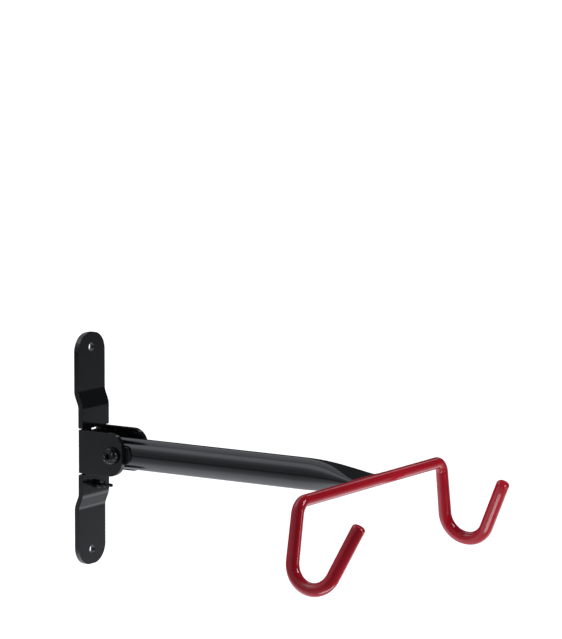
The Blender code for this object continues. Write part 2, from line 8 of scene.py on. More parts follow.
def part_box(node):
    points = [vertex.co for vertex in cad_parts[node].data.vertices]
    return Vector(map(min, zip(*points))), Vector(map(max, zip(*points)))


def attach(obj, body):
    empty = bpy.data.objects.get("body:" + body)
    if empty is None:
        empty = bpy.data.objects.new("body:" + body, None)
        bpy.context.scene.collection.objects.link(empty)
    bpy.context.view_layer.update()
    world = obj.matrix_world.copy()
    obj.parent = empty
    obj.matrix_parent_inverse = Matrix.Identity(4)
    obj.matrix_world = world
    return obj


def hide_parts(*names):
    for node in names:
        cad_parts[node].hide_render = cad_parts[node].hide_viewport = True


# A folding wall bike hanger, dressed for a studio picture. The wall is the plane y = 0, the arm
# points to -y, z is up. Lengths are in metres and angles in degrees.
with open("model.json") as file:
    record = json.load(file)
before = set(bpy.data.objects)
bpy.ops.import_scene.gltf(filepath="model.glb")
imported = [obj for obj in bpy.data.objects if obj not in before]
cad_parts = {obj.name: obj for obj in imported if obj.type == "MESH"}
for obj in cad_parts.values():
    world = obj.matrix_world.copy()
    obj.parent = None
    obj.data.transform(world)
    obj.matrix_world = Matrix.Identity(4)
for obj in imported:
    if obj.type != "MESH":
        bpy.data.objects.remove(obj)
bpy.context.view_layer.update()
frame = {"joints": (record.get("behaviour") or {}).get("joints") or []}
pivot = Vector(frame["joints"][0]["pos_m"])
contactGap = 0.0003  # left between pieces that touch, as in the CAD
mergeDistance = 0.000001  # points closer than this become one

# How a flat outline stands: seen from the front, from the side, from above
seenFromFront = Matrix(((1, 0, 0), (0, 0, -1), (0, 1, 0))).to_4x4()
seenFromSide = Matrix(((0, 0, 1), (1, 0, 0), (0, 1, 0))).to_4x4()
seenFromAbove = Matrix.Identity(4)
boltCentre = (pivot.y, pivot.z)  # the bolt's line, seen from the side

# Where the axis of a turned piece points: out from the wall, or along the bolt's line
outFromWall = Matrix.Rotation(math.radians(90), 4, "X")
onBoltLine = Matrix.Translation((0, pivot.y, pivot.z)) @ Matrix.Rotation(math.radians(90), 4, "Y")


# Nodes

def setInputs(tree, node, inputs):
    # Each input takes a value, or a link from another node's output
    for name, value in inputs.items():
        if isinstance(value, bpy.types.NodeSocket):
            tree.links.new(value, node.inputs[name])
        else:
            node.inputs[name].default_value = value


def addNode(tree, kind, inputs):
    node = tree.nodes.new(kind)
    setInputs(tree, node, inputs)
    return node


def addMath(tree, operation, first, second):
    node = addNode(tree, "ShaderNodeMath", {0: first, 1: second})
    node.operation = operation
    return node.outputs["Value"]


def addRange(tree, source, fromLow, fromHigh, low, high):
    inputs = {"Value": source, "From Min": fromLow, "From Max": fromHigh, "To Min": low, "To Max": high}
    return addNode(tree, "ShaderNodeMapRange", inputs).outputs["Result"]


def addNoise(tree, place, scale, detail, stretch=None):
    if stretch is not None:
        place = addNode(tree, "ShaderNodeMapping", {"Vector": place, "Scale": stretch}).outputs["Vector"]
    noise = addNode(tree, "ShaderNodeTexNoise", {"Vector": place, "Scale": scale, "Detail": detail})
    return noise.outputs["Fac"]


def addColours(tree, source, stops):
    # Each stop is (position from 0 to 1, colour)
    ramp = addNode(tree, "ShaderNodeValToRGB", {"Fac": source})
    first, last = ramp.color_ramp.elements
    first.position, last.position = stops[0][0], stops[-1][0]
    first.color, last.color = (*stops[0][1], 1), (*stops[-1][1], 1)
    for position, colour in stops[1:-1]:
        ramp.color_ramp.elements.new(position).color = (*colour, 1)
    return ramp.outputs["Color"]


# Materials

def newMaterial(name, colour, roughness, metallic=0.0):
    material = bpy.data.materials.new(name)
    material.use_nodes = True
    tree = material.node_tree
    shader = tree.nodes["Principled BSDF"]
    setInputs(tree, shader, {"Base Color": (*colour, 1), "Roughness": roughness, "Metallic": metallic})
    return material, tree, shader, addNode(tree, "ShaderNodeTexCoord", {}).outputs["Object"]


def varyColour(tree, noise, shader, stops):
    setInputs(tree, shader, {"Base Color": addColours(tree, noise, stops)})


def varyRoughness(tree, noise, shader, low, high, noiseHigh=0.7):
    # Noise lies mostly between 0.3 and 0.7
    setInputs(tree, shader, {"Roughness": addRange(tree, noise, 0.3, noiseHigh, low, high)})


def addBump(tree, shader, layers):
    # Each layer is (height source, strength, depth in metres), and stands on the one before it
    under = {}
    for source, strength, depth in layers:
        bump = addNode(tree, "ShaderNodeBump", {"Height": source, "Strength": strength, "Distance": depth})
        setInputs(tree, bump, under)
        under = {"Normal": bump.outputs["Normal"]}
    setInputs(tree, shader, under)


def makePowderBlack():
    # Gloss powder coat: a faint orange peel, flow variations in gloss, a few dust specks
    material, tree, shader, place = newMaterial("powderBlack", (0.009, 0.009, 0.01), roughness=0.16)
    cloudy = addNoise(tree, place, scale=35, detail=4)
    varyRoughness(tree, cloudy, shader, low=0.08, high=0.15)
    specks = addNoise(tree, place, scale=2600, detail=1)
    colours = [(0.0, (0.008, 0.008, 0.009)), (0.7, (0.009, 0.0092, 0.0102)),
               (0.82, (0.016, 0.016, 0.018))]
    varyColour(tree, specks, shader, colours)
    peel = addNoise(tree, place, scale=520, detail=1.5)
    grain = addNoise(tree, place, scale=3200, detail=2)
    addBump(tree, shader, [(peel, 0.1, 0.0001), (grain, 0.05, 0.00002)])
    return material


def makeDippedRed():
    # Thick dipped vinyl: a glossy skin, slow waves where it flowed, deeper red where it pooled
    material, tree, shader, place = newMaterial("dippedRed", (0.6, 0.01, 0.028), roughness=0.2)
    pooled = addNoise(tree, place, scale=22, detail=3)
    colours = [(0.25, (0.52, 0.008, 0.023)), (0.5, (0.6, 0.01, 0.028)), (0.8, (0.66, 0.013, 0.033))]
    varyColour(tree, pooled, shader, colours)
    cloudy = addNoise(tree, place, scale=70, detail=3)
    varyRoughness(tree, cloudy, shader, low=0.07, high=0.13)
    waves = addNoise(tree, place, scale=95, detail=2)
    grain = addNoise(tree, place, scale=2400, detail=2)
    addBump(tree, shader, [(waves, 0.14, 0.00035), (grain, 0.05, 0.00003)])
    setInputs(tree, shader, {"Specular IOR Level": 0.45, "Coat Weight": 0.25, "Coat Roughness": 0.04})
    return material


def makeMouldedBlack():
    # The spacers: matt plastic with a fine moulded grain
    material, tree, shader, place = newMaterial("mouldedBlack", (0.006, 0.006, 0.006), roughness=0.5)
    grain = addNoise(tree, place, scale=1800, detail=3)
    varyRoughness(tree, grain, shader, low=0.42, high=0.6)
    addBump(tree, shader, [(grain, 0.25, 0.00006)])
    return material


def makeBlackenedSteel():
    # The bolt: black finish over steel, with the metal just showing through on worn spots
    material, tree, shader, place = newMaterial("blackenedSteel", (0.02, 0.02, 0.022), 0.22, metallic=0.5)
    worn = addNoise(tree, place, scale=420, detail=4)
    colours = [(0.0, (0.012, 0.012, 0.014)), (0.56, (0.022, 0.022, 0.024)), (0.7, (0.3, 0.3, 0.3))]
    varyColour(tree, worn, shader, colours)
    varyRoughness(tree, worn, shader, low=0.16, high=0.32, noiseHigh=0.75)
    addBump(tree, shader, [(worn, 0.12, 0.00004)])
    return material


def makeZincSteel():
    # Bright zinc: turned marks round the bolt's line and a faint cloudy bloom
    material, tree, shader, place = newMaterial("zincSteel", (0.58, 0.59, 0.6), 0.28, metallic=1.0)
    bloom = addNoise(tree, place, scale=260, detail=4)
    varyColour(tree, bloom, shader, [(0.3, (0.46, 0.47, 0.49)), (0.7, (0.66, 0.66, 0.65))])
    varyRoughness(tree, bloom, shader, low=0.2, high=0.4)
    lathe = addNoise(tree, place, scale=400, detail=2, stretch=(9, 1, 1))
    addBump(tree, shader, [(lathe, 0.15, 0.00004)])
    return material


def makeDrawnSteel():
    # The bare rod inside the red skin: fine lines along the bar
    material, tree, shader, place = newMaterial("drawnSteel", (0.4, 0.39, 0.38), 0.35, metallic=1.0)
    lines = addNoise(tree, place, scale=500, detail=3, stretch=(0.08, 1, 1))
    varyRoughness(tree, lines, shader, low=0.28, high=0.46)
    addBump(tree, shader, [(lines, 0.2, 0.00004)])
    return material


def makeBlueNylon():
    # The nut's locking ring: waxy, and a little light passes into it
    material, tree, shader, place = newMaterial("blueNylon", (0.03, 0.12, 0.42), roughness=0.45)
    mottled = addNoise(tree, place, scale=700, detail=2)
    varyRoughness(tree, mottled, shader, low=0.38, high=0.52)
    addBump(tree, shader, [(mottled, 0.1, 0.00003)])
    setInputs(tree, shader, {"Subsurface Weight": 0.1, "Subsurface Scale": 0.001})
    return material


powderBlack = makePowderBlack()
dippedRed = makeDippedRed()
mouldedBlack = makeMouldedBlack()
blackenedSteel = makeBlackenedSteel()
zincSteel = makeZincSteel()
drawnSteel = makeDrawnSteel()
blueNylon = makeBlueNylon()
print("materials made")


# Outlines and profiles, as lists of points

def arc(centre, radius, start, end, steps):
    points = []
    for step in range(steps + 1):
        angle = math.radians(start + (end - start) * step / steps)
        points.append((centre[0] + radius * math.cos(angle), centre[1] + radius * math.sin(angle)))
    return points


def circle(centre, radius, steps):
    return arc(centre, radius, 0, 360, steps)[:-1]


def filletOutline(points, radii, steps):
    # A closed outline whose corners are rounded, each by its own radius
    rounded = []
    for index, point in enumerate(points):
        corner = Vector(point)
        radius = radii[index]
        if radius <= 0:
            rounded.append(tuple(corner))
            continue
        before = (Vector(points[index - 1]) - corner).normalized()
        after = (Vector(points[(index + 1) % len(points)]) - corner).normalized()
        half = before.angle(after) / 2
        centre = corner + (before + after).normalized() * (radius / math.sin(half))
        start = corner + before * (radius / math.tan(half)) - centre
        end = corner + after * (radius / math.tan(half)) - centre
        sweep = math.atan2(start.x * end.y - start.y * end.x, start.dot(end))
        for step in range(steps + 1):
            turned = Matrix.Rotation(sweep * step / steps, 2) @ start
            rounded.append(tuple(centre + turned))
    return rounded


def domeProfile(flat, radius, rim, height, steps):
    # From just inside the rim down to the flat middle of a head, along a quarter of an ellipse
    points = []
    for step in range(1, steps + 1):
        angle = math.radians(90 * step / steps)
        points.append((flat + (radius - flat) * math.cos(angle), rim - height * math.sin(angle)))
    return points


def ringEnd(hole, outside, end, edge, steps):
    # The end of a turned ring, from its hole outwards, with both edges rounded
    inner = arc((hole + edge, end - edge), edge, 180, 90, steps)
    return inner + arc((outside - edge, end - edge), edge, 90, 0, steps)


# Meshes

def newObject(name, data):
    item = bpy.data.objects.new(name, data)
    bpy.context.scene.collection.objects.link(item)
    return item


def finishFaces(work, mesh):
    # The faces turn outwards, and the worked shape goes into the mesh
    bmesh.ops.recalc_face_normals(work, faces=work.faces)
    work.to_mesh(mesh)
    work.free()


def joinRings(work, near, far):
    for index in range(len(near)):
        after = (index + 1) % len(near)
        work.faces.new((near[index], near[after], far[after], far[index]))


def slab(name, outline, low, high, view):
    # A flat outline as a prism, thick from low to high along its own z
    work = bmesh.new()
    bottom = [work.verts.new((across, up, low)) for across, up in outline]
    top = [work.verts.new((across, up, high)) for across, up in outline]
    work.faces.new(bottom)
    work.faces.new(top)
    joinRings(work, bottom, top)
    mesh = bpy.data.meshes.new(name)
    finishFaces(work, mesh)
    mesh.transform(view)
    return newObject(name, mesh)


def loft(name, sections):
    # A skin from section to section, closed at both ends
    work = bmesh.new()
    rings = [[work.verts.new(point) for point in section] for section in sections]
    for near, far in zip(rings, rings[1:]):
        joinRings(work, near, far)
    work.faces.new(rings[0])
    work.faces.new(rings[-1])
    mesh = bpy.data.meshes.new(name)
    finishFaces(work, mesh)
    return newObject(name, mesh)


def bakeModifiers(item):
    # The evaluated shape becomes a plain mesh on the same object
    bpy.context.view_layer.update()
    graph = bpy.context.evaluated_depsgraph_get()
    mesh = bpy.data.meshes.new_from_object(item.evaluated_get(graph))
    item.modifiers.clear()
    item.data = mesh


def cleanMesh(item, merge=0, flatAngle=0):
    # Points closer than merge become one, and areas flat to within the angle become single faces
    work = bmesh.new()
    work.from_mesh(item.data)
    if merge > 0:
        bmesh.ops.remove_doubles(work, verts=work.verts, dist=merge)
    if flatAngle > 0:
        angle = math.radians(flatAngle)
        bmesh.ops.dissolve_limit(work, angle_limit=angle, verts=work.verts, edges=work.edges)
    finishFaces(work, item.data)


def turnedPiece(name, profile, place, steps, ring=False):
    # The profile holds (radius, height) points, turned about its own z; a ring's profile is closed
    edges = [(index, index + 1) for index in range(len(profile) - 1)]
    if ring:
        edges.append((len(profile) - 1, 0))
    mesh = bpy.data.meshes.new(name)
    mesh.from_pydata([(radius, 0, height) for radius, height in profile], edges, [])
    item = newObject(name, mesh)
    screw = item.modifiers.new("turn", "SCREW")
    screw.steps = steps
    screw.render_steps = steps
    screw.use_merge_vertices = True
    screw.merge_threshold = mergeDistance
    bakeModifiers(item)
    cleanMesh(item, merge=mergeDistance)
    item.data.transform(place)
    return item


def combine(item, other, operation="DIFFERENCE"):
    step = item.modifiers.new(other.name, "BOOLEAN")
    step.operation = operation
    step.solver = "EXACT"
    step.object = other
    bakeModifiers(item)
    bpy.data.objects.remove(other)


def cutOutline(item, name, outline, reach, view, operation="DIFFERENCE"):
    # reach is the cutter's two ends along the line of sight
    combine(item, slab(name, outline, *reach, view), operation)


def roundEdges(item, width, segments, angle, share=None):
    # Rounds edges sharper than the angle; share, where given, is an edge's part of the width
    # by its middle. Flat areas become single faces first, so that the rounding is even.
    cleanMesh(item, merge=2 * mergeDistance, flatAngle=0.4)
    bevel = item.modifiers.new("round", "BEVEL")
    bevel.width = width
    bevel.segments = segments
    bevel.harden_normals = True
    if share is None:
        bevel.limit_method = "ANGLE"
        bevel.angle_limit = math.radians(angle)
    else:
        bevel.limit_method = "WEIGHT"
        work = bmesh.new()
        work.from_mesh(item.data)
        weight = work.edges.layers.float.new("bevel_weight_edge")
        for edge in work.edges:
            if edge.is_manifold and edge.calc_face_angle() > math.radians(angle):
                edge[weight] = share((edge.verts[0].co + edge.verts[1].co) / 2)
        work.to_mesh(item.data)
        work.free()
    item.data.shade_smooth()
    bakeModifiers(item)


def dress(item, material, body, slotName, *replaced, sharp=None):
    # Finish, material slot name (not used), body and the CAD nodes that the piece stands for; sharp is the
    # angle past which an edge stays crisp in a smooth surface
    item.data.materials.clear()
    item.data.materials.append(material)
    if sharp is not None:
        item.data.shade_smooth()
        item.data.set_sharp_from_angle(angle=math.radians(sharp))
    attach(item, body)
    if replaced:
        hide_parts(*replaced)


# Trees of geometry nodes: named inputs, and an end in real geometry with its finish

def newTree(name, inputs, output):
    tree = bpy.data.node_groups.new(name, "GeometryNodeTree")
    sockets = {}
    for label, kind in inputs.items():
        socket = tree.interface.new_socket(label, in_out="INPUT", socket_type="NodeSocket" + kind)
        sockets[label] = socket.identifier
    tree.interface.new_socket(output, in_out="OUTPUT", socket_type="NodeSocketGeometry")
    return tree, sockets


def endTree(tree, given, shape):
    realize = addNode(tree, "GeometryNodeRealizeInstances", {"Geometry": shape})
    finish = addNode(tree, "GeometryNodeSetMaterial", {"Geometry": realize.outputs["Geometry"],
                                                       "Material": given["Finish"]})
    addNode(tree, "NodeGroupOutput", {0: finish.outputs["Geometry"]})


def runTree(item, tree, sockets, values):
    nodes = item.modifiers.new(tree.name, "NODES")
    nodes.node_group = tree
    for label, value in values.items():
        nodes[sockets[label]] = value
    bakeModifiers(item)


# Wall plate: a strip joggled forward in the middle, its ears bent forward from the sides

wallPlate = {
    "thickness": 0.0055,
    "cornerRadius": 0.0195,
    "edgeRadius": 0.0009,
    "drilledEdge": 0.3,  # a drilled hole's share of the edge radius
    "creaseRadius": 0.014,
    "joggleDepth": 0.005,
    "joggleToe": 0.058,
    "joggleRise": 0.012,
    "earHeight": 0.0444,
    "earCorner": 0.016,
    "bendOutside": 0.001,
    "reliefAbove": 0.001,
    "reliefBelow": 0.0018,
    "notchCorner": 0.0016,
    "screwHole": 0.0095,
    "screwInset": 0.015,
    "boltHole": 0.0106,
    "studHole": 0.0056,
    "slotWidth": 0.015,
    "slotHeight": 0.003,
    "slotCorner": 0.0012,
    "slotBelowNotch": 0.0004,
    "tailRadius": 0.016,
    "tailLength": 0.03948,
    "tailPlay": 0.0004,
    "stopPlay": 0.0003,
    "sweepPlay": 0.0005,
    # Cutters and blanks reach past the plate
    "blankEnd": 0.2,
    "earRoot": 0.02,
    "sideReach": (-0.1, 0.1),
    "frontReach": (-0.05, 0.1),
    "holeReach": (-0.01, 0.02),
    "windowReach": (0.0005, 0.02),
}


def stripSide(sizes):
    # The strip's bends seen from the side, longer than the strip
    thick = sizes["thickness"]
    deep = sizes["joggleDepth"]
    toe = sizes["joggleToe"]
    knee = toe - sizes["joggleRise"]
    shift = thick * math.tan(math.atan2(deep, sizes["joggleRise"]) / 2)
    end = sizes["blankEnd"]
    inside = sizes["creaseRadius"]
    outside = inside + thick
    back = [(0, end), (0, toe), (-deep, knee), (-deep, -knee), (0, -toe), (0, -end)]
    front = [(-thick, -end), (-thick, -toe - shift), (-thick - deep, -knee - shift),
             (-thick - deep, knee + shift), (-thick, toe + shift), (-thick, end)]
    radii = [0, outside, inside, inside, outside, 0, 0, inside, outside, outside, inside, 0]
    return filletOutline(back + front, radii, steps=12)


def stripFront(sizes, halfWidth, half, sign):
    # The upper or lower half of the strip seen from the front, with the notches beside the ears
    neck = halfWidth - sizes["thickness"]
    earTop = sizes["earHeight"] / 2
    notch = earTop + sizes["reliefAbove" if sign > 0 else "reliefBelow"]
    inner = sizes["notchCorner"]
    corner = sizes["cornerRadius"]
    points = [(neck, earTop / 2), (neck, notch), (halfWidth, notch), (halfWidth, half), (-halfWidth, half),
              (-halfWidth, notch), (-neck, notch), (-neck, earTop / 2)]
    outline = filletOutline(points, [0, 0, inner, corner, corner, inner, 0, 0], steps=28)
    return [(across, sign * up) for across, up in outline]


def windowOutline(sizes):
    # The opening that the tube's tail swings through, and the arc above that stops the level arm
    radius = sizes["tailRadius"]
    side = radius + sizes["tailPlay"]
    stop = radius + sizes["stopPlay"]
    turning = math.hypot(sizes["tailLength"], radius)
    webDistance = -pivot.y - sizes["joggleDepth"] - sizes["thickness"]
    sweep = math.sqrt(turning ** 2 - webDistance ** 2) + sizes["sweepPlay"]
    low = math.degrees(math.acos(side / sweep))
    right = arc((0, 0), sweep, -90, -low, steps=24)
    right.append((side, 0))
    right += arc((0, 0), stop, 0, 90, steps=32)[1:]
    left = [(-across, up) for across, up in reversed(right[1:-1])]
    return [(across, up + pivot.z) for across, up in right + left]


def slotOutline(sizes):
    half = sizes["slotWidth"] / 2
    top = sizes["earHeight"] / 2 + sizes["reliefAbove"] - sizes["slotBelowNotch"]
    low = top - sizes["slotHeight"]
    corners = [(-half, low), (half, low), (half, top), (-half, top)]
    return filletOutline(corners, [sizes["slotCorner"]] * 4, steps=6)


def makeEars(sizes, halfWidth, front):
    # The web and the two ears as one channel, seen from above, then shaped from the side
    thick = sizes["thickness"]
    web = -sizes["joggleDepth"]
    bend = sizes["bendOutside"]
    earTop = sizes["earHeight"] / 2
    right = [(halfWidth - thick, web - thick), (halfWidth - thick, front), (halfWidth, front)]
    right += arc((halfWidth - bend, web - bend), bend, 0, 90, steps=10)
    channel = right + [(-across, out) for across, out in reversed(right)]
    ears = slab("wallPlate", channel, -earTop, earTop, seenFromAbove)
    root = sizes["earRoot"]
    corner = sizes["earCorner"]
    outline = [(root, -earTop), (root, earTop), (front, earTop), (front, -earTop)]
    outline = filletOutline(outline, [0, 0, corner, corner], steps=32)
    cutOutline(ears, "earShape", outline, sizes["sideReach"], seenFromSide, "INTERSECT")
    return ears


def cutOpenings(plate, sizes, half):
    cutOutline(plate, "window", windowOutline(sizes), sizes["windowReach"], seenFromFront)
    cutOutline(plate, "slot", slotOutline(sizes), sizes["windowReach"], seenFromFront)
    low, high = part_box("catch_stud")
    stud = circle((0, (low.z + high.z) / 2), sizes["studHole"] / 2, steps=48)
    cutOutline(plate, "studHole", stud, sizes["holeReach"], seenFromFront)
    for sign in (1, -1):
        centre = Vector((0, sign * (half - sizes["screwInset"])))
        screw = circle(centre, sizes["screwHole"] / 2, steps=64)
        cutOutline(plate, "screwHole", screw, sizes["holeReach"], seenFromFront)
    bolt = circle(boltCentre, sizes["boltHole"] / 2, steps=64)
    cutOutline(plate, "boltHole", bolt, sizes["sideReach"], seenFromSide)


def makeWallPlate():
    sizes = wallPlate
    low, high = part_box("wall_plate")
    half = high.z
    plate = makeEars(sizes, high.x, low.y)
    for sign in (1, -1):
        strip = slab("strip", stripSide(sizes), *sizes["sideReach"], seenFromSide)
        front = stripFront(sizes, high.x, half, sign)
        cutOutline(strip, "stripFront", front, sizes["frontReach"], seenFromFront, "INTERSECT")
        combine(plate, strip, "UNION")
    cutOpenings(plate, sizes, half)

    def edgeShare(place):
        # The edges of drilled holes are crisper than the plate's outer edges
        screw = math.hypot(place.x, abs(place.z) - half + sizes["screwInset"])
        bolt = math.hypot(place.y - pivot.y, place.z - pivot.z)
        drilled = screw < sizes["screwHole"] or bolt < sizes["boltHole"]
        return sizes["drilledEdge"] if drilled else 1.0

    roundEdges(plate, sizes["edgeRadius"], segments=3, angle=35, share=edgeShare)
    dress(plate, powderBlack, "wall_bracket", "black_paint", "wall_plate")


makeWallPlate()
print("wall plate made")


# Catch stud: a turned pin with a collar, riveted into the strip below the ears

catchStud = {
    "tip": 0.0035,
    "tipRound": 0.0006,
    "tipRoot": 0.0004,
    "body": 0.0065,
    "bodyLength": 0.007,
    "collar": 0.0087,
    "collarLength": 0.004,
    "root": 0.0003,
    "edge": 0.0004,
    "shank": 0.005,
    "rivet": 0.009,
    "rivetHeight": 0.0025,
}


def makeCatchStud():
    sizes = catchStud
    names = ("tip", "body", "collar", "shank", "rivet")
    tip, body, collar, shank, rivet = [sizes[name] / 2 for name in names]
    low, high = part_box("catch_stud")
    back = -high.y + sizes["rivetHeight"]
    face = wallPlate["joggleDepth"] + wallPlate["thickness"] + contactGap
    collarEnd = face + sizes["collarLength"]
    bodyEnd = collarEnd + sizes["bodyLength"]
    tipEnd = -low.y
    tipRound = sizes["tipRound"]
    tipRoot = sizes["tipRoot"]
    root = sizes["root"]
    edge = sizes["edge"]
    profile = [(0, tipEnd)] + arc((tip - tipRound, tipEnd - tipRound), tipRound, 90, 0, steps=6)
    profile += [(tip, bodyEnd + tipRoot), (tip + tipRoot, bodyEnd)]
    profile += arc((body - edge, bodyEnd - edge), edge, 90, 0, steps=5)
    profile += [(body, collarEnd + root), (body + root, collarEnd)]
    profile += arc((collar - edge, collarEnd - edge), edge, 90, 0, steps=5)
    profile += [(collar, face + root), (collar - root, face), (shank, face), (shank, back), (rivet, back)]
    profile += domeProfile(0, rivet, back, sizes["rivetHeight"], steps=8)
    place = Matrix.Translation((0, 0, (low.z + high.z) / 2)) @ outFromWall
    stud = turnedPiece("catchStud", profile, place, steps=64)
    dress(stud, powderBlack, "wall_bracket", "black_paint", "catch_stud", sharp=40)


makeCatchStud()
print("catch stud made")


# Pivot bolt: a button head with a hexagon key hole, and a thread at the nut's end

pivotBolt = {
    "shank": 0.01,
    "head": 0.018,
    "flat": 0.012,
    "rim": 0.0012,
    "headEdge": 0.0003,
    "key": 0.006,
    "keyDepth": 0.003,
    "keyOver": 0.01,
    "endChamfer": 0.0008,
    "threadLength": 0.016,
    "threadDepth": 0.0005,
    "runOut": 0.0005,
    "pitch": 0.0015,
    "ridge": 1.02,  # its height as a share of the thread's depth
    "ridgeStart": 0.0007,
    "bareEnds": 0.0022,
}


def threadTree():
    # A helical ridge about x, from Start along the bolt
    inputs = {"Radius": "Float", "Pitch": "Float", "Turns": "Float", "Depth": "Float", "Start": "Vector",
              "Finish": "Material"}
    tree, sockets = newTree("boltThread", inputs, "Thread")
    given = addNode(tree, "NodeGroupInput", {}).outputs
    height = addMath(tree, "MULTIPLY", given["Turns"], given["Pitch"])
    spiral = addNode(tree, "GeometryNodeCurveSpiral", {
        "Resolution": 40, "Rotations": given["Turns"], "Start Radius": given["Radius"],
        "End Radius": given["Radius"], "Height": height})
    ridge = addNode(tree, "GeometryNodeCurvePrimitiveCircle", {"Resolution": 4, "Radius": given["Depth"]})
    sweep = addNode(tree, "GeometryNodeCurveToMesh", {
        "Curve": spiral.outputs["Curve"], "Profile Curve": ridge.outputs["Curve"], "Fill Caps": True})
    place = addNode(tree, "GeometryNodeTransform", {
        "Geometry": sweep.outputs["Mesh"], "Translation": given["Start"],
        "Rotation": (0, math.radians(90), 0)})
    endTree(tree, given, place.outputs["Geometry"])
    return tree, sockets


def makePivotBolt():
    sizes = pivotBolt
    low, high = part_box("pivot_bolt")
    seat = -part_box("wall_plate")[1].x - contactGap
    end = high.x
    head = sizes["head"] / 2
    flat = sizes["flat"] / 2
    radius = sizes["shank"] / 2
    core = radius - sizes["threadDepth"]
    threadStart = end - sizes["threadLength"]
    rim = seat - sizes["rim"]
    dome = rim - low.x
    chamfer = sizes["endChamfer"]
    edge = sizes["headEdge"]
    profile = [(0, end), (core - chamfer, end), (core, end - chamfer), (core, threadStart),
               (radius, threadStart - sizes["runOut"]), (radius, seat), (head - edge, seat),
               (head, seat - edge), (head, rim)]
    profile += domeProfile(flat, head, rim, dome, steps=24) + [(0, rim - dome)]
    bolt = turnedPiece("pivotBolt", profile, onBoltLine, steps=96)
    hexagon = circle(boltCentre, sizes["key"] / math.sqrt(3), steps=6)
    keyReach = (low.x - sizes["keyOver"], low.x + sizes["keyDepth"])
    cutOutline(bolt, "key", hexagon, keyReach, seenFromSide)
    dress(bolt, blackenedSteel, "wall_bracket", "black_bolt", "pivot_bolt", sharp=38)
    thread = newObject("boltThread", bpy.data.meshes.new("boltThread"))
    runTree(thread, *threadTree(), {
        "Radius": core,
        "Pitch": sizes["pitch"],
        "Turns": (sizes["threadLength"] - sizes["bareEnds"]) / sizes["pitch"],
        "Depth": sizes["threadDepth"] * sizes["ridge"],
        "Start": (threadStart + sizes["ridgeStart"], pivot.y, pivot.z),
        "Finish": blackenedSteel,
    })
    dress(thread, blackenedSteel, "wall_bracket", "black_bolt", sharp=30)


# Washer, and a lock nut with its nylon ring in a collar

nutWasher = {"hole": 0.0106, "rimRound": 0.0006, "edge": 0.0003}
pivotNut = {
    "size": 0.017,
    "hexHeight": 0.008,
    "chamferAngle": 30,
    "hole": 0.0106,
    "holeEdge": 0.0005,
    "collarWall": 0.0011,
    "collarRound": 0.00064,
    "collarEdge": 0.0002,
    "collarRoot": (0.0003, 0.0004),  # outwards, upwards
    "edge": 0.0002,
    "ringEdge": 0.0004,
}


def makeNutWasher():
    low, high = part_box("nut_washer")
    outside = (high.z - low.z) / 2
    hole = nutWasher["hole"] / 2
    rim = nutWasher["rimRound"]
    edge = nutWasher["edge"]
    profile = [(hole, high.x)] + arc((outside - rim, high.x - rim), rim, 90, 0, steps=6)
    profile += arc((outside - edge, low.x + edge), edge, 0, -90, steps=3) + [(hole, low.x)]
    washer = turnedPiece("nutWasher", profile, onBoltLine, steps=96, ring=True)
    dress(washer, zincSteel, "wall_bracket", "zinc_steel", "nut_washer", sharp=40)


def makePivotNut():
    # The nut is a hexagon cut to a turned shape, and the ring lies in the collar
    sizes = pivotNut
    low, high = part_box("pivot_nut")
    ringLow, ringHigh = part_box("nut_insert")
    ringOutside = (ringHigh.z - ringLow.z) / 2
    flats = sizes["size"] / 2
    corners = sizes["size"] / math.sqrt(3)
    slope = (corners - flats) * math.tan(math.radians(sizes["chamferAngle"]))
    bottom = low.x
    hexTop = bottom + sizes["hexHeight"]
    top = high.x
    hole = sizes["hole"] / 2
    holeEdge = sizes["holeEdge"]
    inner = ringOutside + contactGap
    outer = inner + sizes["collarWall"]
    collarRound = sizes["collarRound"]
    collarEdge = sizes["collarEdge"]
    rootOut, rootUp = sizes["collarRoot"]
    profile = [(hole + holeEdge, bottom), (hole, bottom + holeEdge), (hole, hexTop), (inner, hexTop),
               (inner, top - collarEdge), (inner + collarEdge, top)]
    profile += arc((outer - collarRound, top - collarRound), collarRound, 90, 0, steps=8)
    profile += [(outer, hexTop + rootUp), (outer + rootOut, hexTop), (flats, hexTop),
                (corners, hexTop - slope), (corners, bottom + slope), (flats, bottom)]
    nut = slab("pivotNut", circle(boltCentre, corners, steps=6), bottom, top, seenFromSide)
    combine(nut, turnedPiece("nutTurning", profile, onBoltLine, steps=96, ring=True), "INTERSECT")
    roundEdges(nut, sizes["edge"], segments=2, angle=40)
    dress(nut, zincSteel, "wall_bracket", "zinc_steel", "pivot_nut")
    profile = ringEnd(hole, ringOutside, ringHigh.x, sizes["ringEdge"], steps=5)
    profile += [(ringOutside, ringLow.x), (hole, ringLow.x)]
    insert = turnedPiece("nutInsert", profile, onBoltLine, steps=96, ring=True)
    dress(insert, blueNylon, "wall_bracket", "blue_nylon", "nut_insert", sharp=40)


makePivotBolt()
makeNutWasher()
makePivotNut()
print("bolt, washer and nut made")


# Arm tube: round, pressed flat over its last stretch while its girth stays the same

armTube = {
    "radius": 0.016,
    "wall": 0.002,
    "length": 0.2944,
    "press": 0.088,
    "pressEase": 1.6,
    "sides": 96,
    "rings": 72,
    "roundRing": 0.1,  # one section on the round stretch, out from the bolt
    "boreRings": 24,
    "boreShare": 0.98,  # of the wall stays round the bore, so that it ends as a slit
    "boreOver": 0.002,  # past the tail
    "boreShort": 0.003,  # of the flat end
    "sleeveHole": 0.0152,
    "slotWidth": 0.0075,
    "slotDepth": 0.00373,
    "edge": 0.0003,
    "cutReach": (-0.04, 0.04),
}


def tubeHalfHeight(out):
    share = (out - (armTube["length"] - armTube["press"])) / armTube["press"]
    share = min(max(share, 0), 1) ** armTube["pressEase"]
    fall = share * share * (3 - 2 * share)
    return armTube["radius"] + (armTube["wall"] - armTube["radius"]) * fall


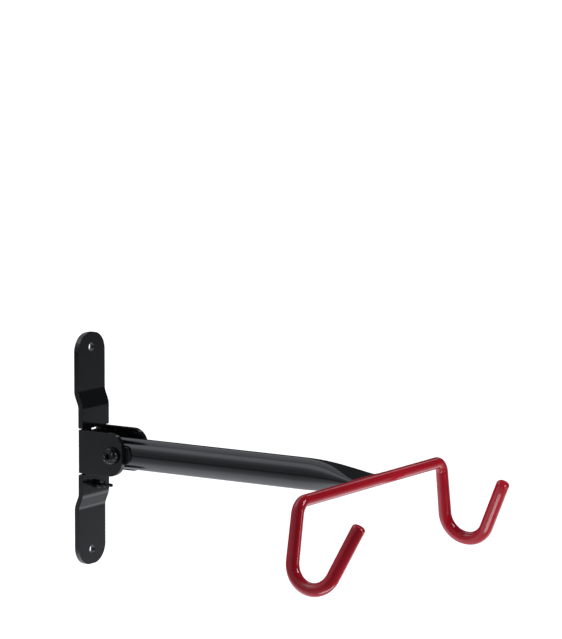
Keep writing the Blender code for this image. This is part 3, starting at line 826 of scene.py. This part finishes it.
def tubeFlat(out):
    # Half the width of the flat stretch between the tube's two rounded sides
    return math.pi / 2 * (armTube["radius"] - tubeHalfHeight(out))


def flatRound(out, flat, radius, sides):
    # A section of the arm: two half circles and the flats between them
    points = []
    for side in range(sides):
        angle = 2 * math.pi * (side + 0.5) / sides
        across = math.copysign(flat, math.cos(angle)) + radius * math.cos(angle)
        points.append(Vector((across, pivot.y - out, pivot.z + radius * math.sin(angle))))
    return points


def tubeSection(out, grow, sides):
    return flatRound(out, tubeFlat(out), tubeHalfHeight(out) + grow, sides)


def pressStations(end, rings):
    start = armTube["length"] - armTube["press"]
    return [start + (end - start) * step / rings for step in range(rings + 1)]


def makeArmTube():
    sizes = armTube
    low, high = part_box("arm_tube")
    tail = pivot.y - high.y
    end = pivot.y - low.y
    stations = [tail, sizes["roundRing"]] + pressStations(end, sizes["rings"])
    tube = loft("armTube", [tubeSection(out, 0, sizes["sides"]) for out in stations])
    bore = [tubeSection(tail - sizes["boreOver"], -sizes["wall"], sizes["sides"])]
    for out in pressStations(end - sizes["boreShort"], sizes["boreRings"]):
        bore.append(tubeSection(out, -sizes["wall"] * sizes["boreShare"], sizes["sides"]))
    combine(tube, loft("tubeBore", bore))
    cross = circle(boltCentre, sizes["sleeveHole"] / 2, steps=48)
    cutOutline(tube, "sleeveHole", cross, sizes["cutReach"], seenFromSide)
    half = sizes["slotWidth"] / 2
    slot = [(half, high.y + half), (-half, high.y + half)]
    slot += arc((0, high.y - sizes["slotDepth"]), half, 180, 360, steps=24)
    cutOutline(tube, "tailSlot", slot, sizes["cutReach"], seenFromAbove)
    roundEdges(tube, sizes["edge"], segments=2, angle=50)
    dress(tube, powderBlack, "arm", "black_paint", "arm_tube")


makeArmTube()
print("arm tube made")


# Double hook: a bent rod in a thick red skin, swept along one path

hookRod = {
    "radius": 0.005,
    "rodSides": 32,
    "rodEdge": 0.0015,
    "skin": 0.0006,
    "skinSides": 48,
    "swell": 0.00078,
    "tipRound": 0.003,
    "tipParts": 6,
    "tipSteps": 8,
    "barLength": 0.2669,
    "barBend": 0.013,
    "barBendSteps": 20,
    "legLength": 0.0547,
    "legSplay": 0.1739,  # slopes: sideways and back to the wall on the way down
    "legLean": 0.0071,
    "hookRadius": 0.0242,
    "hookTurn": 155.1,
    "hookSteps": 48,
    "hookSplay": 0.0226,  # sideways on the way out
    "tipLength": 0.0552,
}
# The skin's tongue over the arm's flat end, measured back from the bar's axis
tongue = {
    "reach": 0.009,
    "fillet": 0.004,
    "steps": 40,
    "sides": 72,
    "end": 0.0004,
    "underBar": 0.00003,
    "rolledEdge": [(0, 0.35), (0.0001, 0.7), (0.0004, 0.95)],  # distance from the edge, share of the skin
    "rolled": 0.0005,
    "spaceOver": 0.003,
}


def turnPoints(start, toward, side, radius, angle, steps):
    centre = start + side * radius
    points = []
    for step in range(1, steps + 1):
        bend = math.radians(angle) * step / steps
        points.append(centre - side * (radius * math.cos(bend)) + toward * (radius * math.sin(bend)))
    return points


def halfHook(sign):
    # The rod's axis from the bar's bend down the leg and round the hook to its tip
    sizes = hookRod
    corner = pivot + Vector((sign * sizes["barLength"] / 2, -armTube["length"], 0))
    along = Vector((sign, 0, 0))
    leg = Vector((sign * sizes["legSplay"], sizes["legLean"], -1)).normalized()
    side = (leg - along * leg.dot(along)).normalized()
    angle = math.degrees(math.acos(along.dot(leg)))
    setBack = sizes["barBend"] * math.tan(math.radians(angle) / 2)
    points = [corner - along * setBack]
    points += turnPoints(points[0], along, side, sizes["barBend"], angle, sizes["barBendSteps"])
    foot = corner + leg * sizes["legLength"]
    points.append(foot)
    out = Vector((sign * sizes["hookSplay"], -1, 0))
    out = (out - leg * out.dot(leg)).normalized()
    points += turnPoints(foot, leg, out, sizes["hookRadius"], sizes["hookTurn"], sizes["hookSteps"])
    turn = math.radians(sizes["hookTurn"])
    points.append(points[-1] + (out * math.sin(turn) + leg * math.cos(turn)) * sizes["tipLength"])
    return points


def roundTip(points, radius, shorten, edge, swell):
    # Places along the path with their shares of the radius: the skin swells, mostly early on the way
    # to the tip, and ends in a rounded edge
    parts = hookRod["tipParts"]
    steps = hookRod["tipSteps"]
    last = points[-1]
    step = (last - points[-2]).normalized()
    end = last - step * shorten
    straight = (end - points[-2]).length - edge
    between = [points[-2] + step * (straight * part / parts) for part in range(1, parts)]
    points = points[:-1] + between + [last]
    lengths = [(after - point).length for point, after in zip(points, points[1:])]
    path = []
    for index, point in enumerate(points[:-1]):
        left = sum(lengths[index:]) / sum(lengths)
        path.append((point, 1 + swell / radius * (1 - left ** 3)))
    for index in range(steps + 1):
        angle = math.radians(90 * index / steps)
        place = end - step * (edge * (1 - math.sin(angle)))
        path.append((place, 1 + (swell - edge * (1 - math.cos(angle))) / radius))
    return path


def barTree():
    # Sweeps a round section along a path of edges; "thick" scales it from point to point
    inputs = {"Path": "Geometry", "Radius": "Float", "Sides": "Int", "Finish": "Material"}
    tree, sockets = newTree("bentBar", inputs, "Bar")
    given = addNode(tree, "NodeGroupInput", {}).outputs
    path = addNode(tree, "GeometryNodeMeshToCurve", {"Mesh": given["Path"]})
    thick = addNode(tree, "GeometryNodeInputNamedAttribute", {"Name": "thick"})
    thick.data_type = "FLOAT"
    section = addNode(tree, "GeometryNodeCurvePrimitiveCircle", {
        "Resolution": given["Sides"], "Radius": given["Radius"]})
    sweep = addNode(tree, "GeometryNodeCurveToMesh", {
        "Curve": path.outputs["Curve"], "Profile Curve": section.outputs["Curve"],
        "Scale": thick.outputs["Attribute"], "Fill Caps": True})
    merge = addNode(tree, "GeometryNodeMergeByDistance", {
        "Geometry": sweep.outputs["Mesh"], "Distance": mergeDistance})
    endTree(tree, given, merge.outputs["Geometry"])
    return tree, sockets


bentBar, bentBarSockets = barTree()


def sweepHook(name, material, radius, shorten, edge, swell, sides):
    left = roundTip(halfHook(-1), radius, shorten, edge, swell)
    right = roundTip(halfHook(1), radius, shorten, edge, swell)
    path = list(reversed(left)) + right
    edges = [(index, index + 1) for index in range(len(path) - 1)]
    mesh = bpy.data.meshes.new(name)
    mesh.from_pydata([place for place, share in path], edges, [])
    thick = mesh.attributes.new("thick", "FLOAT", "POINT")
    thick.data.foreach_set("value", [share for place, share in path])
    item = newObject(name, mesh)
    runTree(item, bentBar, bentBarSockets, {"Radius": radius, "Sides": sides, "Finish": material})
    cleanMesh(item)
    return item


def tongueSection(back, skin, radius):
    # The skin over the flat end, swelling smoothly into the bar; back is measured from the bar's axis
    out = armTube["length"] - back
    high = tubeHalfHeight(out) + skin
    bar = math.sqrt(max(radius ** 2 - back ** 2, 0))
    soft = tongue["fillet"]
    blend = max(soft - abs(high - bar), 0) / soft
    joined = max(high, bar) + blend * blend * soft / 4
    joined = min(joined, radius - tongue["underBar"])
    spread = soft * max(0, 1 - (back / (radius + soft)) ** 0.5)
    return flatRound(out, tubeFlat(out) + spread, joined, tongue["sides"])


def makeTongue(skin, radius):
    # Its edge is rolled, and from there it runs to the bar in even steps
    reach = tongue["reach"]
    sections = [tongueSection(reach - inset, skin * share, radius) for inset, share in tongue["rolledEdge"]]
    backs = [reach * (1 - step / tongue["steps"]) for step in range(tongue["steps"])]
    backs = [back for back in backs if back < reach - tongue["rolled"]] + [tongue["end"]]
    sections += [tongueSection(back, skin, radius) for back in backs]
    return loft("tongueSkin", sections)


def makeDoubleHook():
    sizes = hookRod
    skin = contactGap + sizes["skin"]
    radius = sizes["radius"] + contactGap + sizes["skin"]
    coat = sweepHook("redCoating", dippedRed, radius, shorten=0, edge=sizes["tipRound"],
                     swell=sizes["swell"], sides=sizes["skinSides"])
    combine(coat, makeTongue(skin, radius), "UNION")
    backs = (tongue["reach"] + tongue["spaceOver"], tongue["reach"] / 2, sizes["radius"] / 2)
    space = [tubeSection(armTube["length"] - back, contactGap, tongue["sides"]) for back in backs]
    combine(coat, loft("tongueSpace", space))
    combine(coat, sweepHook("rodSpace", dippedRed, sizes["radius"] + contactGap, shorten=sizes["skin"],
                            edge=sizes["rodEdge"], swell=0, sides=sizes["rodSides"]))
    dress(coat, dippedRed, "arm", "red_vinyl", "vinyl_coating", sharp=50)
    rod = sweepHook("yokeRod", drawnSteel, sizes["radius"], shorten=skin, edge=sizes["rodEdge"], swell=0,
                    sides=sizes["rodSides"])
    dress(rod, drawnSteel, "arm", "bare_steel", "yoke_rod", sharp=40)


makeDoubleHook()
print("double hook made")


# Saddle spacers: flat on the ear's side, hollowed to the tube

saddle = {
    "length": 0.039,
    "height": 0.018,
    "hole": 0.0106,
    "edge": 0.0005,
    "hollowReach": (-0.2, 0.2),
    "holeReach": (-0.05, 0.05),
}
sleeveEdge = 0.0004


def makeSaddle(name, node):
    sizes = saddle
    low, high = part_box(node)
    roundEnd = sizes["height"] / 2
    straight = sizes["length"] / 2 - roundEnd
    outline = arc((pivot.y - straight, pivot.z), roundEnd, 90, 270, steps=32)
    outline += arc((pivot.y + straight, pivot.z), roundEnd, -90, 90, steps=32)
    inside = armTube["radius"] / 2  # this end lies in the hollow
    near, far = (inside, high.x) if high.x > 0 else (low.x, -inside)
    piece = slab(name, outline, near, far, seenFromSide)
    hollow = circle((0, pivot.z), armTube["radius"] + contactGap, steps=160)
    cutOutline(piece, "hollow", hollow, sizes["hollowReach"], seenFromFront)
    hole = circle(boltCentre, sizes["hole"] / 2, steps=48)
    cutOutline(piece, "hole", hole, sizes["holeReach"], seenFromSide)
    roundEdges(piece, sizes["edge"], segments=3, angle=45)
    dress(piece, mouldedBlack, "arm", "black_plastic", node)


def makeSleeve():
    # The cross tube inside the arm that the bolt clamps and turns in
    low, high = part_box("pivot_sleeve")
    hole = pivotBolt["shank"] / 2 + contactGap
    right = ringEnd(hole, (high.z - low.z) / 2, high.x, sleeveEdge, steps=3)
    left = [(radius, low.x + high.x - place) for radius, place in reversed(right)]
    sleeve = turnedPiece("pivotSleeve", right + left, onBoltLine, steps=72, ring=True)
    dress(sleeve, zincSteel, "arm", "zinc_steel", "pivot_sleeve", sharp=40)


makeSaddle("saddleLeft", "saddle_spacer_left")
makeSaddle("saddleRight", "saddle_spacer_right")
makeSleeve()
print("spacers and sleeve made")


# Stage, light and camera

studio = {
    "floorHeight": -0.42,
    "floorSize": 60.0,
    "floorColour": (0.95, 0.95, 0.95),
    "floorRoughness": 0.9,
    "floorLift": 0.88,
    "tint": (0.95, 0.98, 1.05),
    "glowCentre": (-0.13, 0.1),
    "glowReach": 6.0,
    "floorGlow": [(0, 1.7), (0.13, 1.7), (0.27, 1.2), (0.41, 0.9), (0.55, 0.8), (1.05, 0.6), (2.5, 0.34),
                  (3.2, 0.36), (4, 0.25), (6, 0.14)],  # distance from the centre, brightness
    "shadeToward": (-0.52, -0.85, 0),
    "shadeReach": (0.1, 0.8),
    "shade": 0.2,
    "backToward": (0.17, 0.985, 0),
    "backReach": (1.3, 2.3),
    "backShade": 0.3,
    "roomGlow": 0.045,
}
# Soft cards on the room's walls and ceiling: direction, brightness, angles of the full and the last light
glowCards = {
    "leftWall": ((-0.8, 0.6, 0), 0.3, 41, 73),
    "ceiling": ((-0.28, 0.53, 0.8), 1.1, 6, 21),
    "ceilingHalo": ((-0.28, 0.53, 0.8), 0.45, 12, 42),
    "rightCeiling": ((0.45, 0.55, 0.7), 0.66, 17, 27),
    "rightWall": ((0.84, 0.1, 0.55), 0.85, 3, 8),
}
# Small lights: where each stands, what it faces, the way its width runs, width and height, power
softboxes = {
    "frontStrip": {"place": (0.17, -0.95, -0.2), "target": (0, -0.36, -0.03), "along": (0.96, 0.28, 0),
                   "size": (0.1, 0.5), "power": 0.75},
    "frontTop": {"place": (0.17, -0.95, 0.38), "target": (0, -0.36, -0.03), "along": (0.96, 0.28, 0),
                 "size": (0.3, 0.3), "power": 1.9},
    "rightFloor": {"place": (0.72, -0.45, -0.41), "target": (0.72, -0.45, 0), "along": (1, 0, 0),
                   "size": (0.8, 0.3), "power": 0.66},
    "leftFloor": {"place": (-0.17, -0.46, -0.41), "target": (-0.17, -0.46, 0), "along": (0.76, -0.65, 0),
                  "size": (0.38, 0.1), "power": 0.5},
}
# The photo's view: the camera's angles, its focal length and the longer side in pixels, pixels to
# a metre at the origin, how far right of the origin and above it the camera aims, sensor in mm
photoView = {
    "turn": 57.3207,
    "dip": 7.2836,
    "roll": 0.1921,
    "focal": 3152.3,
    "longSide": 639,
    "scale": 975,
    "across": 0.1982538,
    "up": 0.1316716,
    "sensor": 36.0,
    "clip": (0.05, 200),
}


def cameraMix(tree, seen, reflected, end):
    # What the camera sees on the stage, and what the object's gloss sees
    path = addNode(tree, "ShaderNodeLightPath", {})
    mix = addNode(tree, "ShaderNodeMixShader", {0: path.outputs["Is Camera Ray"], 1: reflected, 2: seen})
    setInputs(tree, tree.nodes[end], {"Surface": mix.outputs["Shader"]})


def alongDirection(tree, source, direction):
    along = addNode(tree, "ShaderNodeVectorMath", {0: source, 1: Vector(direction).normalized()})
    along.operation = "DOT_PRODUCT"
    return along.outputs["Value"]


def floorGlow(tree, place):
    # The brightest spot lies under the hanger, one side is in shade, and it fades towards the back
    distance = addNode(tree, "ShaderNodeVectorMath", {0: place})
    distance.operation = "LENGTH"
    reach = studio["glowReach"]
    levels = studio["floorGlow"]
    top = max(level for at, level in levels)
    stops = [(at / reach, [level / top * share for share in studio["tint"]]) for at, level in levels]
    colour = addColours(tree, addRange(tree, distance.outputs["Value"], 0, reach, 0, 1), stops)
    toward = alongDirection(tree, place, studio["shadeToward"])
    shaded = addRange(tree, toward, *studio["shadeReach"], top, top * studio["shade"])
    behind = alongDirection(tree, place, studio["backToward"])
    behind = addRange(tree, behind, *studio["backReach"], 1, studio["backShade"])
    strength = addMath(tree, "MULTIPLY", shaded, behind)
    emission = addNode(tree, "ShaderNodeEmission", {"Color": colour, "Strength": strength})
    return emission.outputs["Emission"]


def makeFloor():
    half = studio["floorSize"] / 2
    height = studio["floorHeight"]
    corners = [(-half, -half, height), (half, -half, height), (half, half, height), (-half, half, height)]
    mesh = bpy.data.meshes.new("floor")
    mesh.from_pydata(corners, [], [(0, 1, 2, 3)])
    floor = newObject("floor", mesh)
    material, tree, shader, place = newMaterial("paleFloor", studio["floorColour"], studio["floorRoughness"])
    setInputs(tree, shader, {"Specular IOR Level": 0, "Emission Color": (1, 1, 1, 1),
                             "Emission Strength": studio["floorLift"]})
    across, deep = studio["glowCentre"]
    flat = addNode(tree, "ShaderNodeMapping", {"Vector": place, "Location": (-across, -deep, 0),
                                               "Scale": (1, 1, 0)})
    glow = floorGlow(tree, flat.outputs["Vector"])
    cameraMix(tree, shader.outputs["BSDF"], glow, "Material Output")
    floor.data.materials.append(material)


def makeWorld():
    world = bpy.data.worlds.new("studio")
    world.use_nodes = True
    bpy.context.scene.world = world
    tree = world.node_tree
    white = tree.nodes["Background"]
    setInputs(tree, white, {"Color": (1, 1, 1, 1), "Strength": 1})
    direction = addNode(tree, "ShaderNodeTexCoord", {}).outputs["Generated"]
    total = studio["roomGlow"]
    for middle, level, full, last in glowCards.values():
        near = alongDirection(tree, direction, middle)
        card = addRange(tree, near, math.cos(math.radians(last)), math.cos(math.radians(full)), 0, level)
        total = addMath(tree, "ADD", total, card)
    tent = addNode(tree, "ShaderNodeBackground", {"Color": (*studio["tint"], 1), "Strength": total})
    cameraMix(tree, white.outputs["Background"], tent.outputs["Background"], "World Output")


def standAt(item, place, right, up, back):
    # A light or the camera looks away from back
    item.location = place
    item.rotation_mode = "QUATERNION"
    item.rotation_quaternion = Matrix((right, up, back)).transposed().to_quaternion()


def makeSoftbox(name, place, target, along, size, power):
    light = bpy.data.lights.new(name, "AREA")
    light.shape = "RECTANGLE"
    light.size, light.size_y = size
    light.energy = power
    item = newObject(name, light)
    back = (Vector(place) - Vector(target)).normalized()
    across = (Vector(along) - back * back.dot(Vector(along))).normalized()
    standAt(item, place, across, back.cross(across), back)
    item.visible_camera = False


def makeCamera():
    view = photoView
    turn = math.radians(view["turn"])
    dip = math.radians(view["dip"])
    forward = Vector((math.sin(turn) * math.cos(dip), math.cos(turn) * math.cos(dip), -math.sin(dip)))
    level = Vector((math.cos(turn), -math.sin(turn), 0))
    right = Matrix.Rotation(-math.radians(view["roll"]), 3, forward) @ level
    up = right.cross(forward)
    lens = bpy.data.cameras.new("camera")
    lens.sensor_width = view["sensor"]
    lens.lens = view["focal"] * view["sensor"] / view["longSide"]
    lens.clip_start, lens.clip_end = view["clip"]
    camera = newObject("camera", lens)
    distance = view["focal"] / view["scale"]
    standAt(camera, right * view["across"] + up * view["up"] - forward * distance, right, up, -forward)
    bpy.context.scene.camera = camera


makeFloor()
makeWorld()
for boxName, box in softboxes.items():
    makeSoftbox(boxName, **box)
makeCamera()
bpy.context.scene.view_settings.view_transform = "Standard"
print("stage, lights and camera made")
